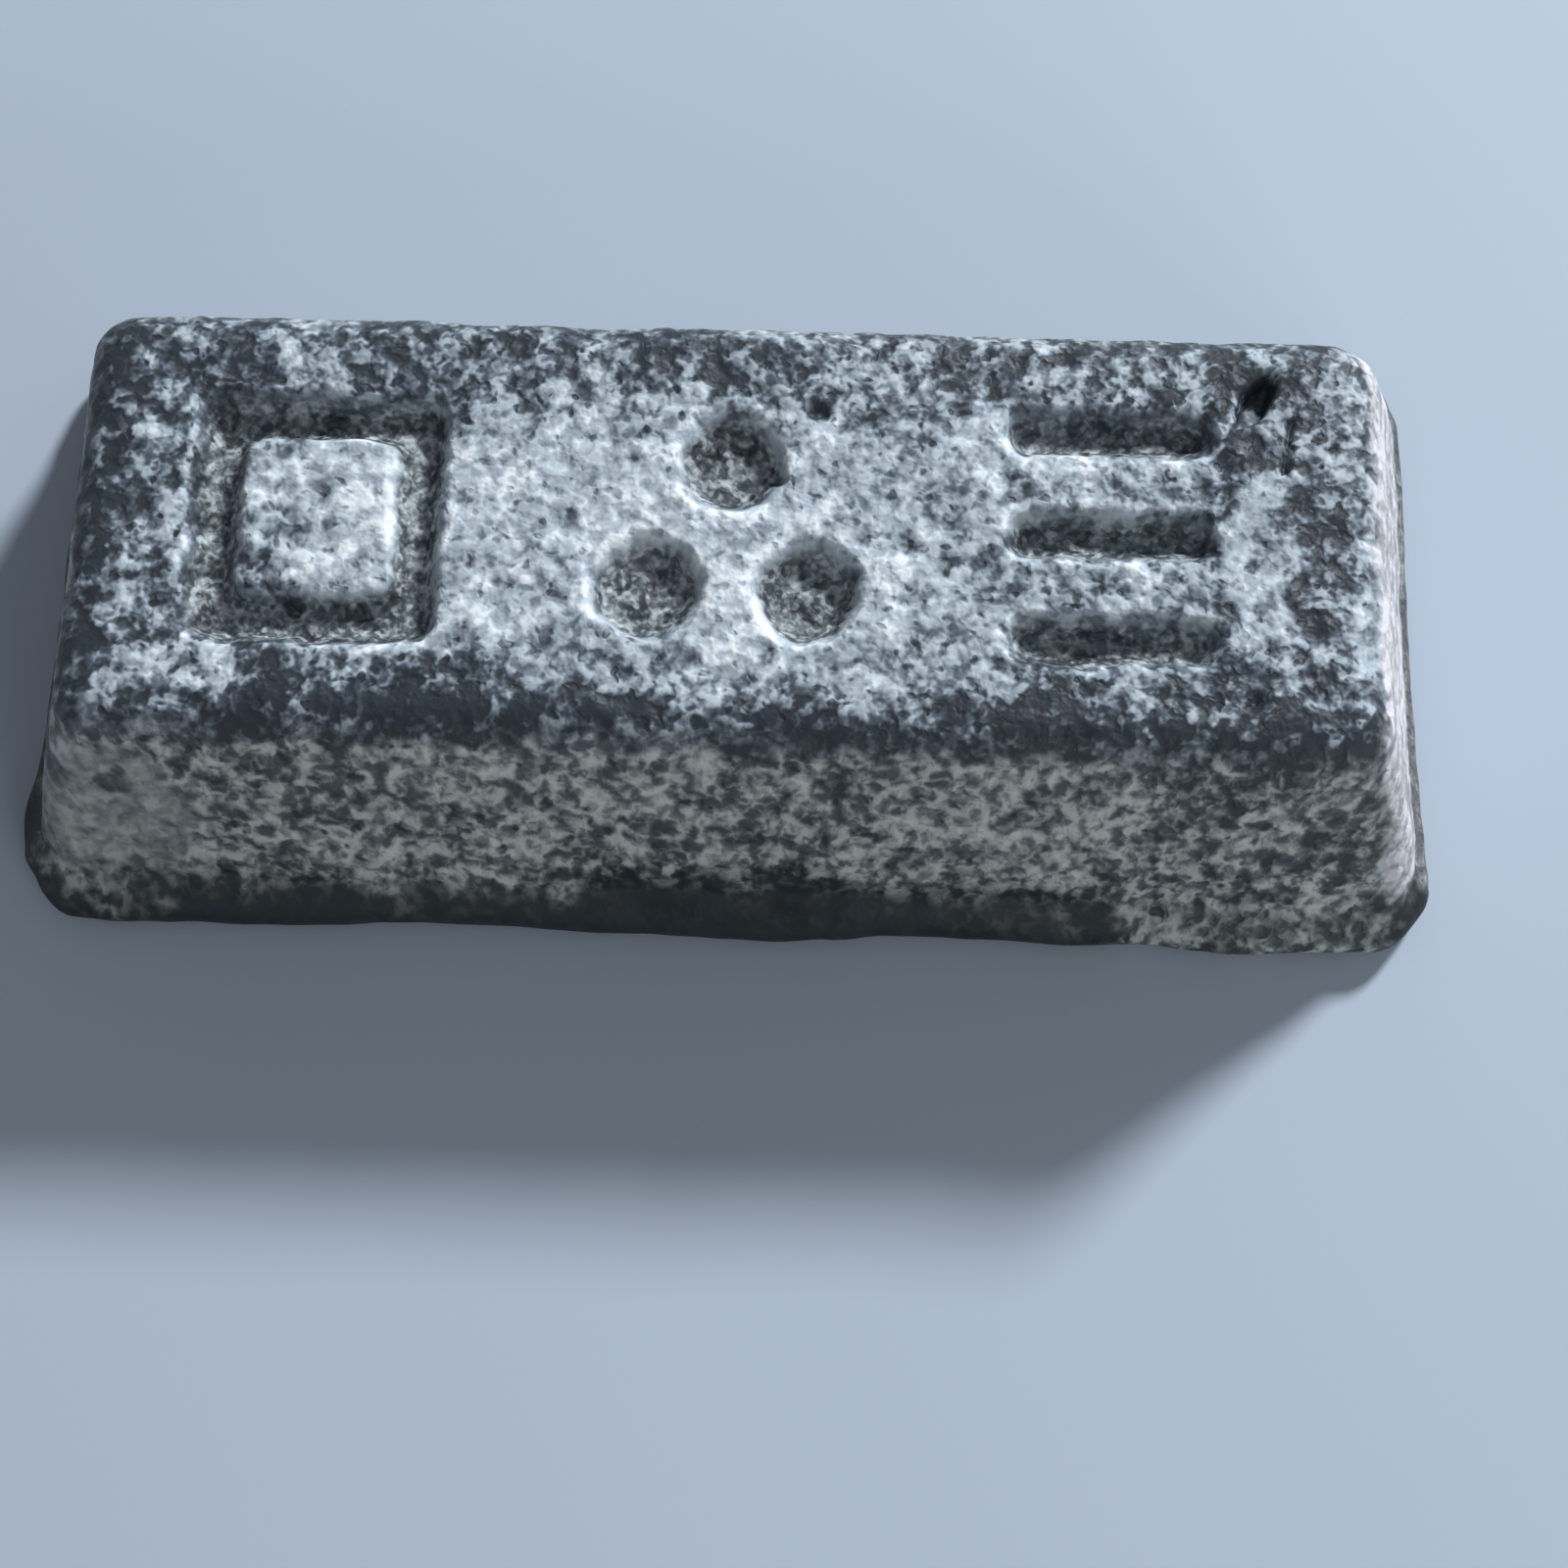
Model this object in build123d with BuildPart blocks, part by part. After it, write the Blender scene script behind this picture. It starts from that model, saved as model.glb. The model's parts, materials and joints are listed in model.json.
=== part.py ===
"""A small hand-poured lead ingot, lying on the face it was poured through.

The bar is one casting. It was poured into an open, tapered iron mould, left to set, and tipped out upside
down, so the mould's floor shaped the face that is now on top. From top to bottom it has:
- a flat face with three sunk marks, left by raised pads on the mould's floor: a square frame round a raised
  pad, three round dimples, and three level bars,
- a blow hole beside the last mark, where gas was caught under the metal,
- round shoulders and four sloping walls, which let the bar drop out of the mould,
- a soft, wavy lip where the metal rose to the mould's rim, with a tongue at one corner where it ran over,
- a poured face that sank into a shallow dish as it cooled, so the bar rests on the rim of that dish.

Millimetres. X runs along the bar, Y across it and Z up. The origin is on the ground, under the middle.
"""

from build123d import *
import os
from math import cos, exp, hypot, pi, radians, tan

# The bar
face_length = 122.0  # moulded face, out to where its plane would meet the walls
face_width = 42.0
height = 31.5
wall_draft = 17.0  # degrees that each wall leans out from upright
face_corner = 4.4  # corner radius in plan, at the moulded face
foot_corner = 5.5  # and at the foot of the walls
shoulder_round = 4.5

# The lip round the poured face
lip_height = 6.6
lip_belly = 2.1  # level at which it stands out furthest
lip_roll = 1.4  # how far it rolls back under, from the belly to the ground
lip_bite = 1.2  # how deep its top edge runs into the wall
side_reach, end_reach = 1.3, 0.1  # how far it stands out along the sides and the ends, on average
swell, swell_length = 0.4, 52.0  # slow wave of that reach along the bar
ripple, ripple_length = 0.15, 23.0  # quicker wave on top of it
lip_places = 120  # places on the foot of the walls where the reach is worked out

# The tongue, where metal ran over the mould's rim at one corner
tongue_reach = 0.8  # beyond the rest of the lip
tongue_spread = 9.0
tongue_inset = 2.5  # from the corner of the foot's box, both ways

# The dish in the poured face
land_width = 8.0  # flat rim that the bar rests on, from the foot of the wall
dish_slope_width = 9.0
dish_depth = 1.2
dish_floor_corner = 3.0

# The sunk marks
mark_depth = 2.8
mark_draft = 14.0  # degrees that their walls lean
mark_rim_round = 0.5
mark_floor_round = 0.7
frame_x = -38.5
frame_length, frame_width, frame_corner = 24.0, 25.4, 2.6
pad_length, pad_width, pad_corner = 14.6, 16.0, 2.2  # across the pad's top
pad_drop = 0.3  # how far the pad stays below the moulded face
dimples_y = -2.1
dimple_count, dimple_radius = 3, 5.3
dimple_circle = 8.6  # radius of the circle that the dimples stand on
bars_x = 35.6
bar_count, bar_length, bar_width, bar_pitch = 3, 20.0, 5.2, 10.4

# The blow hole
hole_x, hole_y = 49.4, 14.4
hole_length, hole_width, hole_depth = 6.0, 2.6, 3.2
hole_turn = 59.0  # degrees from X
hole_draft = 7.0

wall_run = tan(radians(wall_draft))  # how far a wall runs out for each millimetre down
foot_length = face_length + 2 * height * wall_run
foot_width = face_width + 2 * height * wall_run
face_plane = Plane.XY.offset(height)
mark_floor = Plane.XY.offset(height - mark_depth)
pad_rise = mark_depth - pad_drop
pad_run = 2 * pad_rise * tan(radians(mark_draft))  # how much wider the pad is at its foot


def lip_reach(place, outward):
    """How far the lip's belly stands out from a place on the foot of the walls."""
    wave = swell * cos(2 * pi * place.X / swell_length)
    wave += ripple * cos(2 * pi * (place.X + place.Y) / ripple_length)
    from_corner = hypot(
        place.X + foot_length / 2 - tongue_inset,
        place.Y + foot_width / 2 - tongue_inset,
    )
    tongue = tongue_reach * exp(-((from_corner / tongue_spread) ** 2))
    return end_reach + (side_reach - end_reach + wave) * abs(outward.Y) + tongue


# Foot of the walls, where they would meet the ground without the lip
with BuildSketch(Plane.XY) as foot:
    RectangleRounded(foot_length, foot_width, foot_corner)
foot_line = foot.sketch.faces()[0].outer_wire()
shares = [step / lip_places for step in range(lip_places)]
places = [foot_line.position_at(share) for share in shares]
outwards = [foot_line.tangent_at(share).cross(Vector(0, 0, 1)) for share in shares]
reaches = [lip_reach(place, outward) for place, outward in zip(places, outwards)]

with BuildPart() as ingot:
    # Walls, from the lip's belly up to the moulded face, and the shoulders between them
    with BuildSketch(Plane.XY.offset(lip_belly)):
        belly_inset = 2 * lip_belly * wall_run
        RectangleRounded(foot_length - belly_inset, foot_width - belly_inset, foot_corner)
    with BuildSketch(face_plane):
        RectangleRounded(face_length, face_width, face_corner)
    loft(ruled=True)
    fillet(ingot.faces().sort_by(Axis.Z)[-1].edges(), shoulder_round)

    # Lip, from the ground out to its belly and back into the wall
    for level, gain, offset in (
        (0, 1, -lip_roll),
        (lip_belly, 1, 0),
        (lip_height, 0, -lip_height * wall_run - lip_bite),
    ):
        with BuildSketch(Plane.XY.offset(level)):
            with BuildLine():
                Spline(
                    *[
                        place + outward * (gain * reach + offset)
                        for place, outward, reach in zip(places, outwards, reaches)
                    ],
                    periodic=True,
                )
            make_face()
    loft()

    # Dish, sunk into the poured face inside its rim
    dish_length, dish_width = foot_length - 2 * land_width, foot_width - 2 * land_width
    with BuildSketch(Plane.XY):
        RectangleRounded(dish_length, dish_width, dish_floor_corner + dish_slope_width)
    with BuildSketch(Plane.XY.offset(dish_depth)):
        RectangleRounded(
            dish_length - 2 * dish_slope_width,
            dish_width - 2 * dish_slope_width,
            dish_floor_corner,
        )
    loft(ruled=True, mode=Mode.SUBTRACT)

    # Marks, sunk into the moulded face with sloping walls, and the pad inside the frame
    with BuildSketch(face_plane):
        with Locations((frame_x, 0)):
            RectangleRounded(frame_length, frame_width, frame_corner)
        with Locations((0, dimples_y)):
            with PolarLocations(dimple_circle, dimple_count, start_angle=90):
                Circle(dimple_radius)
        with Locations((bars_x, 0)):
            with GridLocations(0, bar_pitch, 1, bar_count):
                SlotOverall(bar_length, bar_width)
    extrude(amount=-mark_depth, taper=mark_draft, mode=Mode.SUBTRACT)
    with BuildSketch(mark_floor):
        with Locations((frame_x, 0)):
            RectangleRounded(pad_length + pad_run, pad_width + pad_run, pad_corner + pad_run / 2)
    extrude(amount=pad_rise, taper=mark_draft)

    # Their rims and floors are rounded, as the mould's pads were
    pad_top, moulded_face = ingot.faces().filter_by(Plane.XY).group_by(Axis.Z)[-2:]
    fillet(moulded_face[0].inner_wires().edges() + pad_top.edges(), mark_rim_round)
    floors = ingot.faces().filter_by(Plane.XY).group_by(Axis.Z)[-3]
    fillet(floors.edges(), mark_floor_round)

    # Blow hole, a slanting slot beside the last mark
    with BuildSketch(face_plane):
        with Locations((hole_x, hole_y)):
            SlotOverall(hole_length, hole_width, rotation=hole_turn)
    extrude(amount=-hole_depth, taper=hole_draft, mode=Mode.SUBTRACT)

ingot.part.label = "ingot"
os.makedirs("parts", exist_ok=True)
export_step(ingot.part, "parts/ingot.step")
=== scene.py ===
import json
from math import cos, pi, radians, sin, tan

import bpy
import numpy as np
from mathutils import Matrix, Quaternion, Vector

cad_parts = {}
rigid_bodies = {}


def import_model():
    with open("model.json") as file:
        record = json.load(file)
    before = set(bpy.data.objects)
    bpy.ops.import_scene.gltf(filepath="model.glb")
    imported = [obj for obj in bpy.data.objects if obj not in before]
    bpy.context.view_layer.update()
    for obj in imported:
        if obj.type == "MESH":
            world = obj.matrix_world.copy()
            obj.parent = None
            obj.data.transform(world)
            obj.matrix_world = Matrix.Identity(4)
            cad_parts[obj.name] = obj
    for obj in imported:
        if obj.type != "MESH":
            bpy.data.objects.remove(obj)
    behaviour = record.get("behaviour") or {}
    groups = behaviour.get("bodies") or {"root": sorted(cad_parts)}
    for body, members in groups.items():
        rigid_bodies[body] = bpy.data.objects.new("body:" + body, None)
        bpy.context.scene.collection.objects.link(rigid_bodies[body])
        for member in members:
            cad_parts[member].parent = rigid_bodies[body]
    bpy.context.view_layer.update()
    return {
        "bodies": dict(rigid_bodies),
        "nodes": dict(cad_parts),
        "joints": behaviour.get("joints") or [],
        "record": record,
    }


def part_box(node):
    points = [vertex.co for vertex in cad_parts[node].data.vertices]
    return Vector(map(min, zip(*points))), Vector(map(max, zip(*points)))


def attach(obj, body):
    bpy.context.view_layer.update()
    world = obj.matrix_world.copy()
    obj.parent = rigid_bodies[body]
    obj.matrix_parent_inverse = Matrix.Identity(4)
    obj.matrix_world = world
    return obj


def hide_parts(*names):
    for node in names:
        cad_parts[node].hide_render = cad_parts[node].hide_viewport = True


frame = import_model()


# The bar's outline
#
# One casting of soft lead, poured into an open tapered iron mould and tipped out upside down. It stands on
# the rim round its sunken poured face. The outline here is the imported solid's, in millimetres.

mm = 0.001
height = round(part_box("ingot")[1].z / mm, 3)
face_length, face_width = 122.0, 42.0  # moulded face, out to where its plane would meet the walls
wall_run = tan(radians(17))  # how far a wall runs out for each millimetre down
wall_turn = radians(90 - 17)  # how far the surface turns over the shoulder
face_corner, foot_corner = 4.4, 5.5  # radius in plan
shoulder_round = 4.5
shoulder_start = shoulder_round * tan(wall_turn / 2)  # from the face's outline, inwards
foot_out = height * wall_run  # from the face's outline out to the foot of the walls

lip_height, lip_belly = 6.6, 2.1  # level of its top edge, and where it stands out furthest
lip_roll = 1.4  # how far it rolls back under
side_reach, end_reach = 1.3, 0.1  # how far it stands out, on average
swell, swell_length = 0.4, 52.0  # slow wave of that reach along the bar
ripple, ripple_length = 0.15, 23.0  # and a quicker one
left_tuck, right_tuck = 0.8, 0.6  # how far the lip stands back along each end
corner_cut = 0.8  # and at each corner
tongue_reach, tongue_spread = 0.45, 5.5  # where metal ran over at the left front corner
tongue_inset = 9.0  # from the front, along the left end
tongue_rise = 0.5  # how much higher the lip's belly stands there
tongue_bite = 0.8  # and how far the wall behind it stands back

land_inset, dish_inset = 8.0, 17.0  # flat rim and end of the dish's slope, from the foot of the walls
land_corner, dish_corner = 12.0, 3.0
dish_depth = 1.2
rest_gap = 0.03  # the skin's rim stays this far above the floor


def smooth(value, low, high):
    """0 up to low, 1 from high, and 3t^2 - 2t^3 in between."""
    share = np.clip((value - low) / (high - low), 0, 1)
    return share * share * (3 - 2 * share)


def columns_round(side_steps, end_steps, corner_steps):
    """Columns round the bar, anticlockwise from above, starting at the left end of the front.

    Each has a share of the straight core's half length and half width, from -1 to 1, and the way it faces.
    A column's place is its share of the core plus the corner radius times its facing.
    """
    turn = np.linspace(0, pi / 2, corner_steps + 1)[1:-1]
    shares, facings = [], []
    for quarter, steps in enumerate((side_steps, end_steps, side_steps, end_steps)):
        start = (quarter - 1) * pi / 2
        along = np.concatenate([np.linspace(-1, 1, steps + 1), np.ones(len(turn))])
        angle = np.concatenate([np.full(steps + 1, start), start + turn])
        shares.append([cos(start) - along * sin(start), sin(start) + along * cos(start)])
        facings.append([np.cos(angle), np.sin(angle)])
    return np.concatenate(shares, axis=1), np.concatenate(facings, axis=1)


side_steps, end_steps, corner_steps = 250, 68, 14
share, facing = columns_round(side_steps, end_steps, corner_steps)

foot_x = (face_length / 2 + foot_out - foot_corner) * share[0] + foot_corner * facing[0]
foot_y = (face_width / 2 + foot_out - foot_corner) * share[1] + foot_corner * facing[1]
wave = swell * np.cos(2 * pi * foot_x / swell_length)
wave += ripple * np.cos(2 * pi * (foot_x + foot_y) / ripple_length)
tongue_y = -face_width / 2 - foot_out + tongue_inset
from_tongue = np.hypot(foot_x + face_length / 2 + foot_out, foot_y - tongue_y)
tongue = np.exp(-((from_tongue / tongue_spread) ** 2))
reach = end_reach + (side_reach - end_reach + wave) * abs(facing[1]) + tongue_reach * tongue
reach -= left_tuck * smooth(-facing[0], 0.6, 1) * (1 - tongue)
reach -= right_tuck * smooth(facing[0], 0.6, 1) * smooth(foot_y, -24, -10)
reach -= corner_cut * (2 * facing[0] * facing[1]) ** 2


def ring_steps(count):
    """Shares of the way along one stretch of the profile, without its end, which starts the next."""
    return np.linspace(0, 1, count, endpoint=False)[:, None]


face_steps, shoulder_steps, wall_steps, lip_steps, roll_steps = 48, 13, 44, 16, 6
land_steps, slope_steps, dish_steps = 4, 5, 4

# From the middle of the face out to the shoulder, and round it to the wall
step = ring_steps(face_steps)
face_out = -face_width / 2 + step * (face_width / 2 - shoulder_start)
face_corners = step * (face_corner - shoulder_start)
angle = ring_steps(shoulder_steps) * wall_turn
shoulder_out = shoulder_round * np.sin(angle) - shoulder_start
shoulder_level = height - shoulder_round * (1 - np.cos(angle))

# Down the wall, which stands back a little behind the tongue
shoulder_end = height - shoulder_round * (1 - cos(wall_turn))
wall_level = shoulder_end + ring_steps(wall_steps) * (lip_height - shoulder_end)
standing_back = tongue_bite * tongue * smooth(-wall_level, -17, -lip_height)
wall_out = (height - wall_level) * wall_run - standing_back


def plan_corner(out, level):
    """Corner radius in plan: the face's, less the way in from its outline, growing evenly down the wall."""
    growth = (foot_corner - face_corner) * (height - level) / (height - lip_belly)
    return face_corner + np.minimum(out, 0) + growth


# Out over the lip, a cubic Bezier curve from the wall to the belly, which leaves both ends smoothly
step = ring_steps(lip_steps)
belly_level = lip_belly + tongue_rise * tongue
belly_out = foot_out + reach
lip_top_out = (height - lip_height) * wall_run - tongue_bite * tongue
leave_wall, leave_belly = 1.2 + 0.9 * tongue, 2.6 - 1.2 * tongue
bezier = [(1 - step) ** 3, 3 * step * (1 - step) ** 2, 3 * step**2 * (1 - step), step**3]
lip_outs = [lip_top_out, lip_top_out + leave_wall * wall_run, belly_out, belly_out]
lip_levels = [lip_height, lip_height - leave_wall, belly_level + leave_belly, belly_level]
lip_out = sum(weight * out for weight, out in zip(bezier, lip_outs))
lip_level = sum(weight * level for weight, level in zip(bezier, lip_levels))
lip_top_corner = plan_corner(foot_out, lip_height)
lip_corner = lip_top_corner + (foot_corner + reach - lip_top_corner) * smooth(step, 0, 1)

# Back under, a quarter of an ellipse from the belly to the ground
angle = ring_steps(roll_steps) * pi / 2
roll_out = belly_out - lip_roll * (1 - np.cos(angle))
roll_level = belly_level - (belly_level - rest_gap) * np.sin(angle)
roll_corner = foot_corner + roll_out - foot_out

# In over the flat rim, up the dish's slope and across its floor to the middle
step = ring_steps(land_steps)
land_start = belly_out - lip_roll
land_out = land_start + step * (foot_out - land_inset - land_start)
land_corners = foot_corner + land_start - foot_out
land_corners = land_corners + step * (land_corner - land_corners)
step = ring_steps(slope_steps)
slope_out = foot_out - land_inset - step * (dish_inset - land_inset)
slope_level = rest_gap + dish_depth * smooth(step, 0, 1)
slope_corner = land_corner + step * (dish_corner - land_corner)
step = np.linspace(0, 1, dish_steps + 1)[:, None]
dish_out = foot_out - dish_inset - step * (face_width / 2 + foot_out - dish_inset)
dish_corners = dish_corner * (1 - step)

rings = [
    (face_out, height, face_corners),
    (shoulder_out, shoulder_level, plan_corner(shoulder_out, shoulder_level)),
    (wall_out, wall_level, plan_corner(wall_out, wall_level)),
    (lip_out, lip_level, lip_corner),
    (roll_out, roll_level, roll_corner),
    (land_out, rest_gap, land_corners),
    (slope_out, slope_level, slope_corner),
    (dish_out, rest_gap + dish_depth, dish_corners),
]
stretches = [np.broadcast_arrays(*stretch, share[:1])[:3] for stretch in rings]
out, level, corner = (np.concatenate(part) for part in zip(*stretches))
x = (face_length / 2 + out - corner) * share[0] + corner * facing[0]
y = (face_width / 2 + out - corner) * share[1] + corner * facing[1]


# The sunk marks
#
# Raised pads on the mould's floor left them in the face that is now on top: a square frame round a raised
# pad, three round dimples and three level bars. A gas bubble left the slanting blow hole beside them.

mark_depth = 2.8
frame_x, frame_half_length, frame_half_width, frame_corner = -38.5, 12.0, 12.7, 2.6
pad_half_length, pad_half_width, pad_corner, pad_drop = 7.3, 8.0, 2.2, 0.3
dimples_y, dimple_circle, dimple_radius = -2.1, 8.6, 5.3
dimple_angles = np.radians([90, 210, 330])
bars_x, bar_half_length, bar_half_width, bar_pitch = 35.6, 10.0, 2.6, 10.4
hole_x, hole_y, hole_half_length, hole_half_width, hole_depth = 49.4, 14.4, 3.6, 1.6, 2.6
hole_turn = radians(59)


def rounded_box(x, y, half_length, half_width, corner):
    """Distance from a point to the outline of a rounded rectangle at the origin, less than 0 inside it."""
    over_x, over_y = abs(x) - half_length + corner, abs(y) - half_width + corner
    outside = np.hypot(np.maximum(over_x, 0), np.maximum(over_y, 0))
    return outside + np.minimum(np.maximum(over_x, over_y), 0) - corner


def lattice(cells, seed):
    """A whole number from 0 to 255 for each cell of a cubic lattice, shuffled once for each axis."""
    shuffle = np.random.default_rng(seed).permutation(256)
    number = shuffle[cells[..., 0] & 255]
    number = shuffle[(number + cells[..., 1]) & 255]
    return shuffle[(number + cells[..., 2]) & 255]


def lumps(points, size, seed):
    """Smooth hills and hollows about size millimetres across, from -1 to 1.

    Every corner of a lattice of that size has a random slope through zero. A point takes the heights that
    the eight corners round it give it, blended by 6t^5 - 15t^4 + 10t^3 along each side of its cell.
    """
    slopes = np.random.default_rng(seed + 1).normal(size=(256, 3))
    slopes /= np.linalg.norm(slopes, axis=1, keepdims=True)
    places = points / size
    cells = np.floor(places).astype(int)
    way = places - cells
    blend = way**3 * (way * (way * 6 - 15) + 10)
    total = np.zeros(way.shape[:-1])
    for side in np.ndindex(2, 2, 2):
        weight = np.prod(np.where(side, blend, 1 - blend), axis=-1)
        total += weight * np.sum(slopes[lattice(cells + side, seed)] * (way - side), axis=-1)
    return 1.6 * total


def mark_outlines(x, y):
    """Distances from points of the face to the outlines of the frame, the pad, the dimples with the bars,
    and the blow hole. They are less than 0 inside."""
    places = np.stack([x, y, 0 * x], axis=-1)
    wander = 0.42 * lumps(places, 5.0, 11) + 0.30 * lumps(places, 1.9, 12)
    frame = rounded_box(x - frame_x, y, frame_half_length, frame_half_width, frame_corner)
    pad = rounded_box(x - frame_x, y, pad_half_length, pad_half_width, pad_corner)
    sunk = np.full(x.shape, 99.0)
    for angle in dimple_angles:
        from_x, from_y = x - dimple_circle * cos(angle), y - dimples_y - dimple_circle * sin(angle)
        sunk = np.minimum(sunk, np.hypot(from_x, from_y) - dimple_radius)
    for place in (-bar_pitch, 0, bar_pitch):
        bar = rounded_box(x - bars_x, y - place, bar_half_length, bar_half_width, bar_half_width)
        sunk = np.minimum(sunk, bar)
    along = (x - hole_x) * cos(hole_turn) + (y - hole_y) * sin(hole_turn)
    across = (y - hole_y) * cos(hole_turn) - (x - hole_x) * sin(hole_turn)
    hole = abs(across) - hole_half_width * (1 - (along / hole_half_length) ** 2)
    return frame + wander, pad + wander, sunk + wander, hole + 0.5 * wander


def towards_rims(x, y, middle, width, share):
    """How far points of the face move so that more of them lie on the marks' walls: a share of the distance
    to the middle of the nearest wall, fading out over width. Their way is the slope of that distance."""
    def wall_distance(x, y):
        frame, pad, sunk, hole = mark_outlines(x, y)
        distances = np.stack([frame - middle, -pad - middle, sunk - middle, hole - middle / 2])
        nearest = np.abs(distances).argmin(axis=0)
        return np.take_along_axis(distances, nearest[None], axis=0)[0]

    small = 0.05
    distance = wall_distance(x, y)
    slope_x = (wall_distance(x + small, y) - wall_distance(x - small, y)) / (2 * small)
    slope_y = (wall_distance(x, y + small) - wall_distance(x, y - small)) / (2 * small)
    pull = -share * distance * np.exp(-((distance / width) ** 2)) / np.maximum(np.hypot(slope_x, slope_y), 1)
    return pull * np.clip(slope_x, -1, 1), pull * np.clip(slope_y, -1, 1)


top = slice(0, face_steps)
shift_x, shift_y = towards_rims(x[top], y[top], -0.5, 1.3, 0.4)
x[top] += shift_x
y[top] += shift_y

# How far each is sunk: nothing outside its worn outline, and all of its depth at the foot of its wall
frame_edge, pad_edge, sunk_edge, hole_edge = mark_outlines(x, y)
pad_rise = 1 - smooth(pad_edge, -0.9, 1.5)
frame_sink = 1 - smooth(frame_edge, -2.1, 0.6)
sunk_sink = 1 - smooth(sunk_edge, -2.3, 0.6)
hole_sink = 1 - smooth(hole_edge, -0.9, 0.25)
on_face = (np.arange(len(level)) < face_steps + shoulder_steps)[:, None]
places = np.stack([x, y, 0 * x], axis=-1)
unevenness = 1 + 0.16 * lumps(places, 6.0, 21) + 0.06 * lumps(places, 2.3, 22)
hollow = frame_sink * (1 - pad_rise * (1 - pad_drop / mark_depth)) + sunk_sink
sunk_by = np.where(on_face, mark_depth * unevenness * hollow + hole_depth * hole_sink, 0)


# The skin of the casting
#
# Lead chills against the mould in folds and grains, and years in the open have eaten pits in it and left a
# pale crust. The walls, which slid out of the mould, have relief drawn out level, and the poured face is
# smoother.


def pits(points, spacing, seed):
    """Round bowls, at most one to a cell of a lattice: 1 in the middle of one, 0 outside them.

    Each cell holds a bowl at a random place, with a random radius from nothing to half the spacing. A point
    takes the deepest of those in the 27 cells round it, where each is 1 - (distance / radius)^2.
    """
    random = np.random.default_rng(seed + 1)
    offsets, radii = random.random((256, 3)), 0.5 * random.random(256) ** 1.5
    places = points / spacing
    cells = np.floor(places).astype(int)
    deepest = np.zeros(places.shape[:-1])
    for side in np.ndindex(3, 3, 3):
        cell = cells + side - 1
        number = lattice(cell, seed)
        distance = np.linalg.norm(places - cell - offsets[number], axis=-1)
        deepest = np.maximum(deepest, 1 - (distance / (radii[number] + 0.01)) ** 2)
    return deepest


plain = np.stack([x, y, level], axis=-1)
ring_way = np.gradient(plain, axis=0)
column_way = np.roll(plain, -1, axis=1) - np.roll(plain, 1, axis=1)
normals = np.cross(ring_way, column_way)
normals /= np.linalg.norm(normals, axis=-1, keepdims=True) + 1e-9
points = plain - sunk_by[..., None] * (0, 0, 1)

ring_number = np.arange(len(level))[:, None] + 0 * level  # the same all round a ring
wall_start, lip_start = face_steps + shoulder_steps, face_steps + shoulder_steps + wall_steps
under_start = lip_start + lip_steps + roll_steps
wall = smooth(ring_number, face_steps + 3, wall_start + 2)  # 0 on the face, 1 on the walls and below
under = smooth(ring_number, under_start - 4, under_start + 2)  # 1 on the underside

drawn_out = points * (0.65, 0.65, 1.0)
coarse = 0.24 * lumps(points, 9.0, 31) + 0.15 * lumps(points, 4.1, 32)
grain = 0.11 * lumps(points, 2.1, 33) + 0.08 * lumps(points, 1.15, 34)
folds = 0.10 * lumps(drawn_out, 2.0, 35) + 0.07 * lumps(drawn_out, 1.1, 36)
large_pits, small_pits = pits(points, 3.4, 37), pits(points, 1.9, 38)
fine = (1 - wall) * grain + wall * folds
fine -= (0.30 * large_pits + 0.20 * small_pits) * (1 - 0.6 * wall)
foot_calm = 1 - 0.6 * smooth(-level, -7, -4)  # the lip ran against air, not against the mould
relief = (coarse + fine * foot_calm) * (1 - 0.7 * under) - 0.3
relief = relief * (1 - under) + under * 0.1 * lumps(points, 6.0, 39)
points = points + normals * relief[..., None]


def gash(start, end, width):
    """1 along the middle of a short gash in the face between two places, fading out over its half width."""
    way = np.subtract(end, start)
    from_start = points[..., :2] - start
    share_along = np.clip(from_start @ way / (way @ way), 0, 1)
    away = np.linalg.norm(from_start - share_along[..., None] * way, axis=-1)
    return np.where(on_face, 1 - smooth(away, 0.2 * width, width), 0)


gashes = np.maximum.reduce([
    gash((-42.4, -7.0), (-40.0, -8.7), 0.9),
    gash((7.8, 11.9), (8.4, 11.6), 1.3),
    gash((4.4, 5.3), (4.7, 5.1), 0.9),
    gash((48.1, -16.4), (48.8, -15.9), 1.0),
    gash((52.6, 12.1), (51.9, 7.0), 0.5),
])
points[..., 2] = np.maximum(points[..., 2] - 0.7 * gashes, rest_gap)


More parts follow.
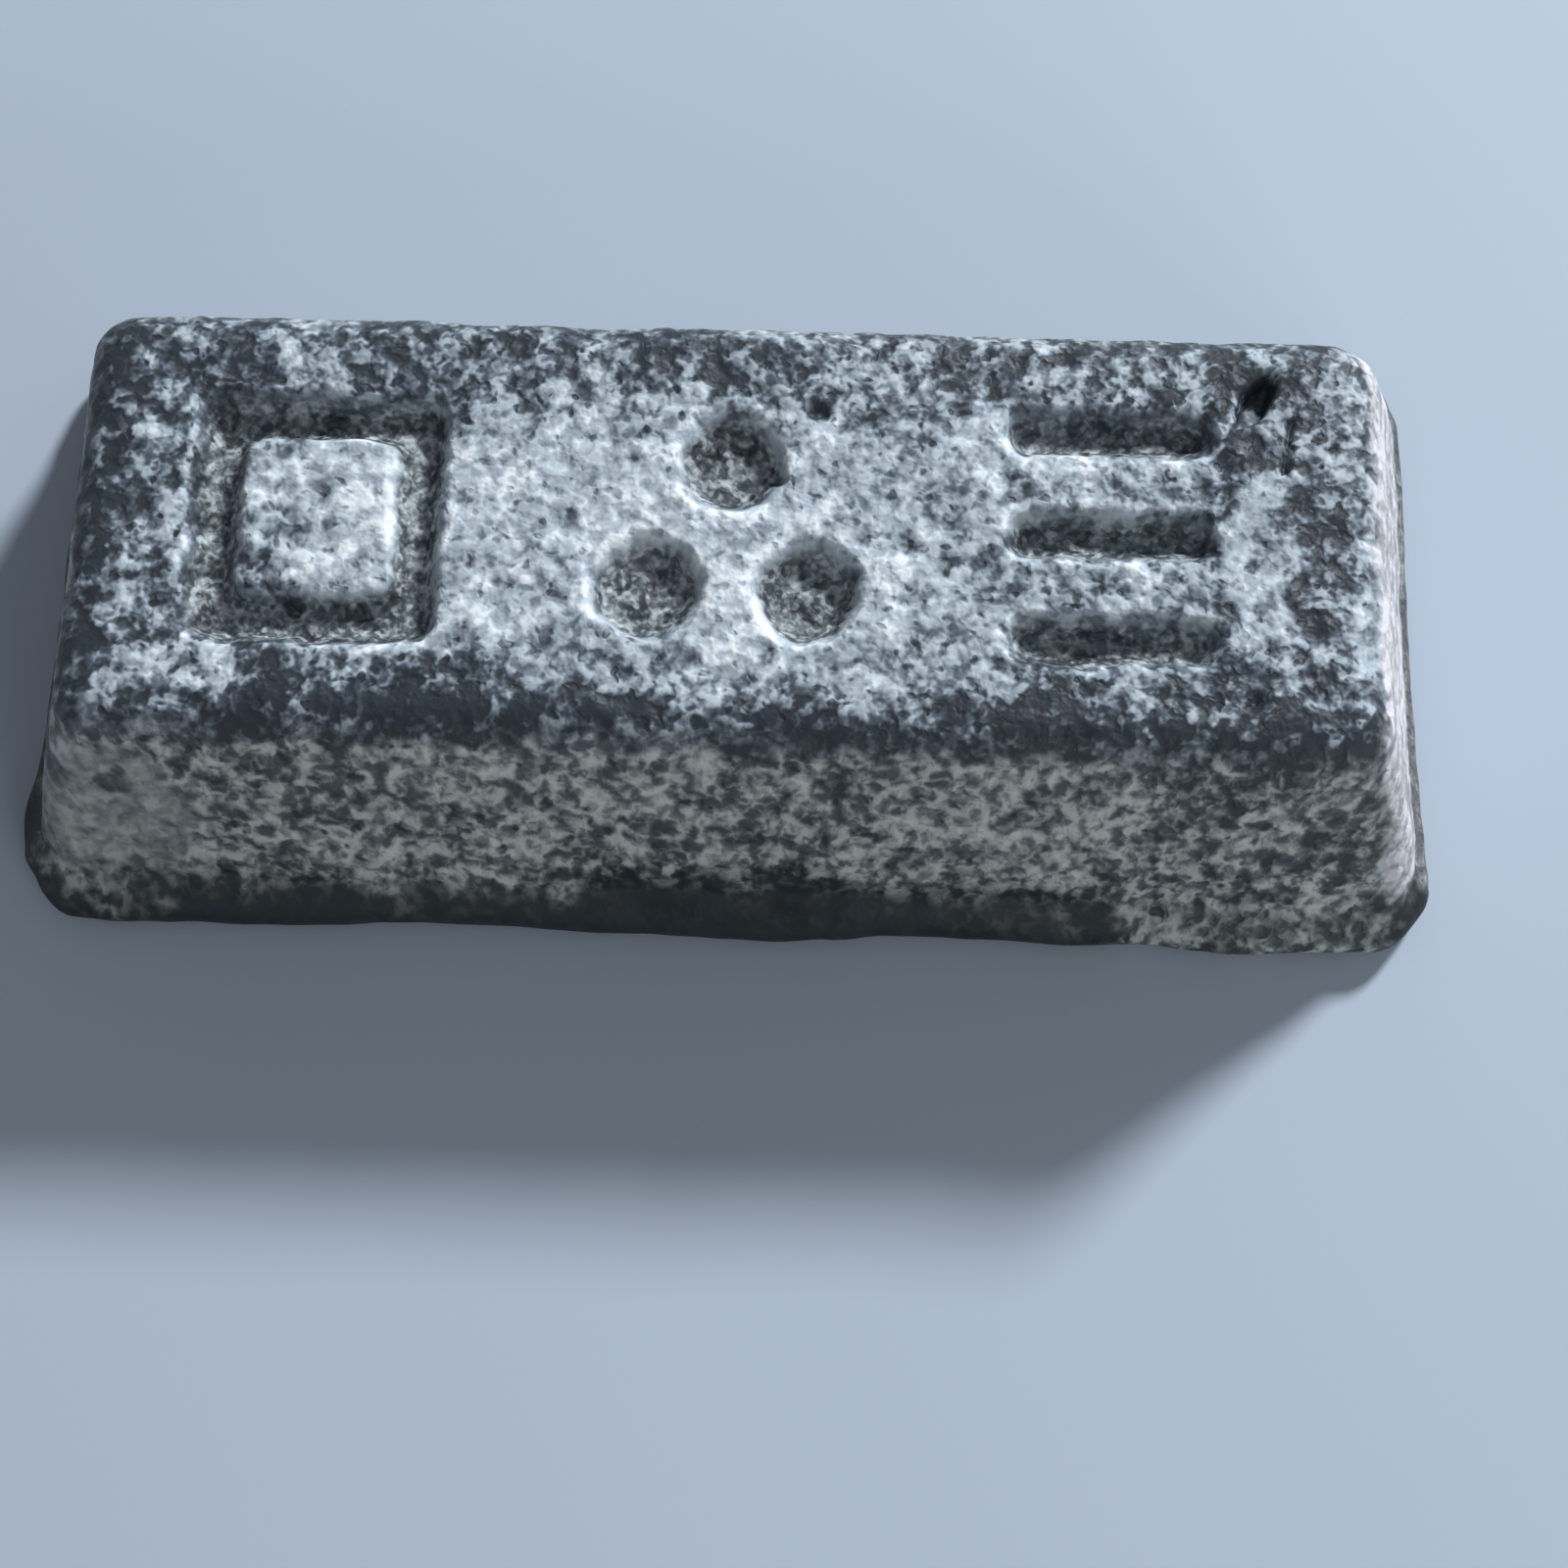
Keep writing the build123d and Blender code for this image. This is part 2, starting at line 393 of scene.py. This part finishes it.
def lay_skin(name, points, fields):
    """A closed mesh from a grid of rings and columns. The first and the last ring have no width: each
    becomes a seam of points that the front and the back share. Triangles left without area are dropped."""
    rings, columns = points.shape[:2]
    seam = np.rint((share[0] + 1) / 2 * side_steps).astype(int)
    seam_length = side_steps + 1
    inner = np.arange((rings - 2) * columns).reshape(rings - 2, columns) + seam_length
    numbers = np.vstack([seam, inner, seam + seam_length + inner.size])
    front = slice(0, seam_length)
    near, far = numbers[:-1], numbers[1:]
    near_next, far_next = np.roll(near, -1, axis=1), np.roll(far, -1, axis=1)
    faces = np.stack([near, far, far_next, near, far_next, near_next], axis=-1).reshape(-1, 3)
    distinct = (faces != np.roll(faces, 1, axis=1)).all(axis=1)
    faces = faces[distinct]

    def flatten(grid):
        return np.concatenate([grid[0, front], grid[1:-1].reshape(-1, *grid.shape[2:]), grid[-1, front]])

    places = flatten(points) * mm
    mesh = bpy.data.meshes.new(name)
    mesh.vertices.add(len(places))
    mesh.vertices.foreach_set("co", places.ravel())
    mesh.loops.add(faces.size)
    mesh.loops.foreach_set("vertex_index", faces.ravel())
    mesh.polygons.add(len(faces))
    mesh.polygons.foreach_set("loop_start", np.arange(0, faces.size, 3))
    mesh.polygons.foreach_set("use_smooth", np.ones(len(faces), bool))
    mesh.update(calc_edges=True)
    mesh.validate()
    for field, values in fields.items():
        attribute = mesh.attributes.new(field, "FLOAT", "POINT")
        attribute.data.foreach_set("value", flatten(values).astype(np.float32))
    skin = bpy.data.objects.new(name, mesh)
    bpy.context.scene.collection.objects.link(skin)
    return skin


# How the crust lies
#
# The white-grey crust is thickest in the middle of the face, thin at its corners and gone along the worn
# front shoulder. The walls are browner, their foot is bare and painted with shade next to the floor, and one
# end is white nearly all over.


def patch(middle, size, seed, wander=0.35):
    """1 in the middle of a blot of that size round a place, fading out at its uneven edge."""
    away = np.linalg.norm((points - middle) / size, axis=-1) + wander * lumps(points, 4.0, seed)
    return 1 - smooth(away, 0.75, 1.15)


px, py, pz = points[..., 0], points[..., 1], points[..., 2]

# On the face it is thickest in a band through the middle, and thins out towards the right
middle_band = (1 - smooth(abs(py + 2), 8, 17)) * (1 - smooth(px, 38, 58)) * (1 - smooth(-px, 24, 42))
middle_band *= 1 - 0.6 * smooth(px, 15, 25) * smooth(-py, 9, 14)
face_crust = 0.31 - 0.17 * smooth(px, 5, 45) + 0.38 * middle_band + 0.10 * lumps(points, 12.0, 44)
face_crust += 0.22 * smooth(px, 56.5, 58.5) * (1 - smooth(abs(py + 5), 9, 13))
front_of_frame = smooth(-px, 18, 24) * (1 - smooth(-px, 43, 46)) * smooth(-py, 12.5, 14.5)
left_edge = smooth(-px, 14, 24) * smooth(-py, 15.5, 17.5)
face_crust += 0.08 * left_edge - 0.24 * front_of_frame

# Thick patches on the face and thin ones on the front wall: middle, half size, change, seed and wander
face_patches = [
    ((48.8, -1, height), (3.4, 10, 4), 0.36, 45, 0.60),
    ((-51, -15.5, height), (8, 2.2, 4), 0.14, 46, 0.35),
    ((frame_x, 0, height), (8, 8.6, 4), 0.40, 48, 0.35),
]
wall_patches = [
    ((47.4, -24.5, 21.3), (1.5, 6, 2.8), -0.35, 49, 0.20),
    ((13.6, -25.6, 16.4), (1.2, 6, 1.6), -0.30, 50, 0.20),
    ((-57, -25, 21.5), (1.8, 5, 1.6), -0.34, 51, 0.30),
    ((-63.5, -23.5, 21.5), (2, 5, 2.6), -0.34, 52, 0.30),
]
wall_crust = 0.50 + 0.10 * lumps(points, 14.0, 41) - 0.12 * smooth(px, 32, 42)
for crust_there, patches in ((face_crust, face_patches), (wall_crust, wall_patches)):
    for middle, half_size, change, seed, wander in patches:
        crust_there += change * patch(middle, half_size, seed, wander)

# The foot of the front wall and the lip are bare, up to a wavy line that drops out of sight at the right.
# The same mask paints shade there, darkest next to the floor.
foot_line = 9.1 + 2.8 * smooth(px, -16, -4) * (1 - smooth(px, 5, 23)) + 2.6 * lumps(points, 5.0, 42)
foot_line -= 1.8 * patch((-60, -29, 5), (6, 9, 9), 53)
bare_foot = (1 - smooth(pz - foot_line, -8.0, 3.0)) * (1 - smooth(px, 37, 43))
front_right = smooth(facing[0], 0.05, 0.45) * smooth(-facing[1], 0.05, 0.4)
bare_foot += 0.7 * front_right * (1 - smooth(pz, 4.5, 8.5))

# The front shoulder, where the bar was rubbed bare, and a darker band along the left one
ring_wander = ring_number - face_steps + 4.0 * lumps(points, 7.0, 47)
shoulder_band = smooth(ring_wander, -4, 1) * (1 - smooth(ring_wander, 9, 15))
shoulder_band *= np.maximum(smooth(-py, 14, 17), smooth(-px, 52, 58))

# The right end, white above its lip and, low down, a little way round the front corner
round_corner = 0.30 * smooth(-facing[1], 0.0, 0.4) * (1 - smooth(pz, 11, 20))
right_face = smooth(facing[0] + round_corner, 0.50, 0.95)
right_end = right_face * smooth(ring_number, face_steps + 2, face_steps + 11) * smooth(pz, 5.5, 8.0)
# The lip of the right end and round its front corner: grey-brown, darkened partly as painted shade
right_lip = smooth(facing[0], 0.2, 0.7) * wall * (1 - smooth(pz, 5.5, 7.5))

coverage = (1 - wall) * face_crust + wall * wall_crust - 0.24 * shoulder_band + 0.30 * right_end
mark_walls = np.where(on_face, smooth(4 * hollow * (1 - hollow), 0.45, 0.9), 0)
smooth_skin = patch((-60, -26, 16), (11, 9, 12), 43) * wall
smooth_skin += 0.15 * shoulder_band + right_end + 0.9 * mark_walls

# Crust gathers on the rims of the marks, paler there, partly as a painted highlight along them
edge = np.exp(-(((frame_edge - 0.35) / 0.5) ** 2)) + np.exp(-(((sunk_edge - 0.35) / 0.5) ** 2))
edge = np.where(on_face, edge + np.exp(-(((pad_edge + 0.3) / 0.5) ** 2)), 0)

ingot = lay_skin("ingot_skin", points, {
    "coverage": coverage,
    "wall": wall,
    # How deep the marks are sunk; it also sets the painted shade in them and, a little, in the blow hole
    "hollow": np.where(on_face, np.clip(hollow + 0.15 * hole_sink, 0, 1.2), 0),
    "edge": edge,
    "smooth_skin": smooth_skin,
    "bare_foot": bare_foot * wall,
    "white_end": right_end,
    "brown_lip": right_lip,
    "pitted": np.maximum(large_pits, small_pits) * (1 - 0.5 * wall) + 1.4 * gashes,
})


# The lead's finish
#
# Bare lead is nearly black and a little shiny. Years in the open have grown a blue-grey film on it, and
# flakes and grains of a dry, pale crust. Colour and shine go from one to the next with the amount of crust.


class Wire:
    """An output of a material's node. Arithmetic on it adds Math nodes, and node adds any other."""

    def __init__(self, tree, socket=None):
        self.tree = tree
        self.socket = socket

    def node(self, kind, settings=(), inputs=(), output=0):
        """Adds a node: its settings first, then a number, a colour or a wire for each input."""
        node = self.tree.nodes.new(kind)
        for name, value in dict(settings).items():
            if name == "stops":
                for place, shade in value[1:-1]:
                    node.color_ramp.elements.new(place)
                for stop, (place, shade) in zip(node.color_ramp.elements, value):
                    stop.position, stop.color = place, (*shade, 1.0)
            else:
                setattr(node, name, value)
        for name, value in dict(inputs).items():
            if isinstance(value, Wire):
                self.tree.links.new(value.socket, node.inputs[name])
            else:
                node.inputs[name].default_value = value
        return Wire(self.tree, node.outputs[output] if len(node.outputs) else None)

    def math(self, operation, first, second):
        return self.node("ShaderNodeMath", {"operation": operation}, {0: first, 1: second})

    def __add__(self, other):
        return self.math("ADD", self, other)

    def __radd__(self, other):
        return self.math("ADD", other, self)

    def __sub__(self, other):
        return self.math("SUBTRACT", self, other)

    def __rsub__(self, other):
        return self.math("SUBTRACT", other, self)

    def __mul__(self, other):
        return self.math("MULTIPLY", self, other)

    def __rmul__(self, other):
        return self.math("MULTIPLY", other, self)

    def smooth(self, low, high):
        """0 up to low, 1 from high, and a smooth rise in between."""
        limits = {"Value": self, "From Min": low, "From Max": high}
        return self.node("ShaderNodeMapRange", {"interpolation_type": "SMOOTHSTEP"}, limits)

    def between(self, first, second):
        """A colour that goes from the first to the second as this value goes from 0 to 1."""
        colours = [value if isinstance(value, Wire) else (*value, 1.0) for value in (first, second)]
        inputs = {0: self, 6: colours[0], 7: colours[1]}
        return self.node("ShaderNodeMix", {"data_type": "RGBA"}, inputs, output=2)


material = bpy.data.materials.new("weathered_lead")
material.use_nodes = True
material.node_tree.nodes.clear()
sheet = Wire(material.node_tree)

in_metres = sheet.node("ShaderNodeTexCoord", output="Object")
in_mm = sheet.node("ShaderNodeVectorMath", {"operation": "SCALE"}, {0: in_metres, "Scale": 1 / mm})


def cloud(size, detail=2.0, roughness=0.5, distortion=0.0, where=in_mm):
    """Cloudy noise with blots about size millimetres across, from 0 to 1 and mostly near 0.5."""
    inputs = {"Vector": where, "Scale": 1 / size, "Detail": detail, "Roughness": roughness}
    inputs["Distortion"] = distortion
    return sheet.node("ShaderNodeTexNoise", {}, inputs)


def field(name):
    """A value that the skin's mesh carries at its points."""
    return sheet.node("ShaderNodeAttribute", {"attribute_name": name}, output="Fac")


def mixed(share, first, second):
    """A value that goes from the first to the second as share goes from 0 to 1."""
    return first + share * (second - first)


bare_dark, bare_grey = (0.026, 0.033, 0.041), (0.073, 0.093, 0.117)
film_grey, crust_grey = (0.175, 0.213, 0.252), (0.312, 0.376, 0.442)
crust_pale, crust_white = (0.490, 0.580, 0.668), (0.740, 0.820, 0.890)
face_shades = [
    (0.00, bare_dark), (0.22, bare_grey), (0.40, film_grey),
    (0.54, crust_grey), (0.80, crust_pale), (0.98, crust_white),
]
wall_shades = [
    (0.00, (0.036, 0.043, 0.046)), (0.30, (0.105, 0.120, 0.122)), (0.50, (0.225, 0.250, 0.248)),
    (0.72, (0.400, 0.440, 0.430)), (1.00, (0.560, 0.600, 0.580)),
]
# The foot's dark and its darkening tint: bare lead, and painted shade next to the floor
foot_dark, foot_shade_tint = (0.014, 0.020, 0.024), (0.22, 0.23, 0.22)
end_grey, end_white = (0.27, 0.28, 0.31), (0.64, 0.65, 0.70)
lip_brown_and_shade = (0.110, 0.113, 0.120)

wall_part = field("wall")
hollow_part = field("hollow").smooth(0.15, 0.75)
calm = field("smooth_skin")


def blots(size, low=0.38, high=0.62, detail=1.0, distortion=0.2, where=in_mm):
    """Blots about half of size across, with soft edges: from -0.5 outside to 0.5 inside them."""
    return cloud(size, detail, 0.5, distortion, where).smooth(low, high) - 0.5


# On the face, round flakes and grains in clumps, with dark pits between them
clumps, specks = blots(7.0), blots(0.8, 0.3, 0.7)
flakes, soft_flakes = blots(2.8, 0.42, 0.58, 3), blots(2.8, 0.30, 0.70, 3)
grains, soft_grains = blots(1.2, 0.40, 0.60), blots(1.2, 0.28, 0.72)
face_pits = blots(1.3, 0.27, 0.40)
face_pattern = 0.26 * clumps + 0.38 * flakes + 0.32 * grains + 0.18 * specks + 0.40 * (face_pits - 0.45)

# On the walls, flecks and crumples drawn out a little
drawn_down = sheet.node("ShaderNodeVectorMath", {"operation": "MULTIPLY"}, {0: in_mm, 1: (0.95, 0.95, 0.70)})
streaks = blots(2.2, 0.34, 0.66, 3, 0.35, drawn_down)
crumples = blots(1.1, 0.35, 0.65, 2, 0.35, drawn_down)
wall_pits = blots(1.4, 0.28, 0.38, 1, 0.2, drawn_down)
wall_pattern = 0.14 * clumps + 0.38 * streaks + 0.34 * crumples + 0.06 * specks
wall_pattern = wall_pattern + 0.26 * (wall_pits - 0.45)

# The amount of crust: thin crust is the most broken, and the floors of the marks are grainy and darker,
# partly as painted shade in the hollows
crust_cover = field("coverage")
liveliness = (1.35 - 0.95 * crust_cover) * (1 - 0.6 * calm)
pattern = mixed(wall_part, face_pattern, 1.2 * wall_pattern)
# The rims' edge field adds paler crust, partly a painted highlight
amount = crust_cover + pattern * liveliness - 0.30 * field("pitted") + 0.22 * field("edge")
beads, fine_beads = blots(0.95, 0.46, 0.62, 0, 0.1), blots(0.62, 0.48, 0.62, 0, 0.1)
shaded_hollow_amount = 0.37 + 0.28 * soft_flakes + 0.20 * grains + 0.24 * beads + 0.26 * fine_beads
shaded_hollow_amount = shaded_hollow_amount - 0.2 * field("pitted")
# Inside the marks the amount drops to this lower, grainy one: real grain, and painted shade in the hollows
amount = mixed(0.9 * hollow_part, amount, shaded_hollow_amount)

face_colour = sheet.node("ShaderNodeValToRGB", {"stops": face_shades}, {"Fac": amount})
wall_colour = sheet.node("ShaderNodeValToRGB", {"stops": wall_shades}, {"Fac": amount})
colour = (wall_part + 0.5 * hollow_part).between(face_colour, wall_colour)

# The white end and its lip, then the bare foot over all, darkened with painted shade near the floor
along_end = sheet.node("ShaderNodeVectorMath", {"operation": "MULTIPLY"}, {0: in_mm, 1: (1.0, 0.30, 1.0)})
end_streaks = blots(2.4, 0.35, 0.65, 3, 0.2, along_end)
end_pattern = 0.60 * end_streaks + 0.40 * flakes + 0.45 * grains
end_colour = (end_pattern + 0.50).smooth(0.0, 1.0).between(end_grey, end_white)
white_part = (field("white_end") + 0.75 * face_pattern).smooth(0.25, 1.10)
colour = white_part.between(colour, end_colour)
# The lip's grey-brown, darkened partly as painted shade
colour = (field("brown_lip") * (0.72 + 0.6 * face_pattern)).between(colour, lip_brown_and_shade)
shaded_foot_part = field("bare_foot") - 0.20 * pattern + 0.50 * (cloud(3.4, 3, 0.5, 0.3) - 0.5)
# Painted shade at the foot: the colour is multiplied darker, then turned nearly black next to the floor
tint = {0: shaded_foot_part.smooth(0.0, 0.8), 6: colour, 7: (*foot_shade_tint, 1.0)}
colour = sheet.node("ShaderNodeMix", {"data_type": "RGBA", "blend_type": "MULTIPLY"}, tint, output=2)
colour = shaded_foot_part.smooth(0.35, 1.0).between(colour, foot_dark)

# Relief too fine for the mesh, in millimetres, and the shine
crust = amount.smooth(0.20, 0.80)
face_relief = 0.12 * soft_flakes + 0.09 * soft_grains + 0.03 * specks + 0.07 * face_pits
face_relief = (face_relief + 0.04 * hollow_part * beads) * (1 - 0.7 * calm)
wall_relief = 0.16 * streaks + 0.13 * crumples + 0.06 * wall_pits
wall_relief = wall_relief * (1 - 0.6 * calm) * (1 - 0.8 * shaded_foot_part.smooth(0, 0.6))
relief_height = mixed(wall_part, face_relief, wall_relief)
bump = sheet.node("ShaderNodeBump", {}, {"Strength": 1.0, "Distance": mm, "Height": relief_height})
shader_inputs = {
    "Base Color": colour,
    "Metallic": 0.30 * (1 - crust),
    "Roughness": mixed(crust, 0.55, 0.82),
    "Specular IOR Level": 0.3,
    "Normal": bump,
}
shader = sheet.node("ShaderNodeBsdfPrincipled", {}, shader_inputs)
sheet.node("ShaderNodeOutputMaterial", {}, {"Surface": shader})
ingot.data.materials.append(material)

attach(ingot, "root")
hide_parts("ingot")


# The table top it lies on
#
# A plain, pale blue-grey board, dull enough to hold the bar's soft shadow and nothing else.

floor_half, floor_paint = 1.0, (0.423, 0.509, 0.631)
floor_mesh = bpy.data.meshes.new("floor")
floor_corners = [(x * floor_half, y * floor_half, 0) for x, y in ((-1, -1), (1, -1), (1, 1), (-1, 1))]
floor_mesh.from_pydata(floor_corners, [], [(0, 1, 2, 3)])
floor = bpy.data.objects.new("floor", floor_mesh)
bpy.context.scene.collection.objects.link(floor)
floor_material = bpy.data.materials.new("pale_table")
floor_material.use_nodes = True
floor_shader = floor_material.node_tree.nodes["Principled BSDF"]
floor_shader.inputs["Base Color"].default_value = (*floor_paint, 1.0)
floor_shader.inputs["Roughness"].default_value = 0.7
floor_shader.inputs["Specular IOR Level"].default_value = 0.2
floor_mesh.materials.append(floor_material)


# The light over it
#
# A round lamp stands behind the bar on the right, high enough to rake the face and leave the front wall in
# shade. A weaker one in front and a dim white sky fill that shade, and the backdrop is a pale blue-grey.


def lamp(name, direction, distance, size, watts, colour):
    """A round lamp in a direction from the bar, shining at the bar."""
    data = bpy.data.lights.new(name, "AREA")
    data.shape = "DISK"
    data.size = size
    data.energy = watts
    data.color = colour
    light = bpy.data.objects.new(name, data)
    way = Vector(direction).normalized()
    light.location = way * distance
    light.rotation_euler = way.to_track_quat("Z", "Y").to_euler()
    light.visible_camera = False
    bpy.context.scene.collection.objects.link(light)


lamp("key", (0.505, 0.670, 0.545), 1.6, 0.25, 33.0, (1.0, 1.0, 1.0))
lamp("fill", (0.50, -0.77, 0.38), 0.9, 0.5, 1.9, (1.0, 0.98, 0.94))

world = bpy.data.worlds.new("studio")
bpy.context.scene.world = world
world.use_nodes = True
world.node_tree.nodes.clear()
air = Wire(world.node_tree)
seen = air.node("ShaderNodeLightPath", output="Is Camera Ray")
mirrored = air.node("ShaderNodeLightPath", output="Is Glossy Ray")
through = air.node("ShaderNodeLightPath", output="Is Transmission Ray")
shown = air.node("ShaderNodeMath", {"operation": "ADD", "use_clamp": True}, {0: seen + mirrored, 1: through})
sky_strength, backdrop_paint = 0.20, (0.62, 0.70, 0.80)
sky = air.node("ShaderNodeBackground", {}, {"Color": (1, 1, 1, 1), "Strength": sky_strength})
backdrop = air.node("ShaderNodeBackground", {}, {"Color": (*backdrop_paint, 1), "Strength": 1.0})
both = air.node("ShaderNodeMixShader", {}, {0: shown, 1: sky, 2: backdrop})
air.node("ShaderNodeOutputWorld", {}, {"Surface": both})


# The camera
#
# It stands where the photograph was taken from: above the front of the bar, looking steeply down at the
# table, and turned a little. Metres.

camera_place = Vector((0.00743, -0.09644, 0.24867))
looked_at = Vector((0.005627, -0.014950, 0))  # on the table, in the middle of the picture
camera_turn = radians(0.394)  # anticlockwise, seen from behind the camera
camera_data = bpy.data.cameras.new("camera")
camera_data.sensor_width = 36
camera_data.lens = 58.5
camera_data.clip_start = 0.01
camera = bpy.data.objects.new("camera", camera_data)
bpy.context.scene.collection.objects.link(camera)
upright = (camera_place - looked_at).to_track_quat("Z", "Y")
turned = upright @ Quaternion((0, 0, 1), camera_turn)
camera.matrix_world = Matrix.LocRotScale(camera_place, turned, None)
bpy.context.scene.camera = camera
bpy.context.scene.view_settings.view_transform = "Standard"
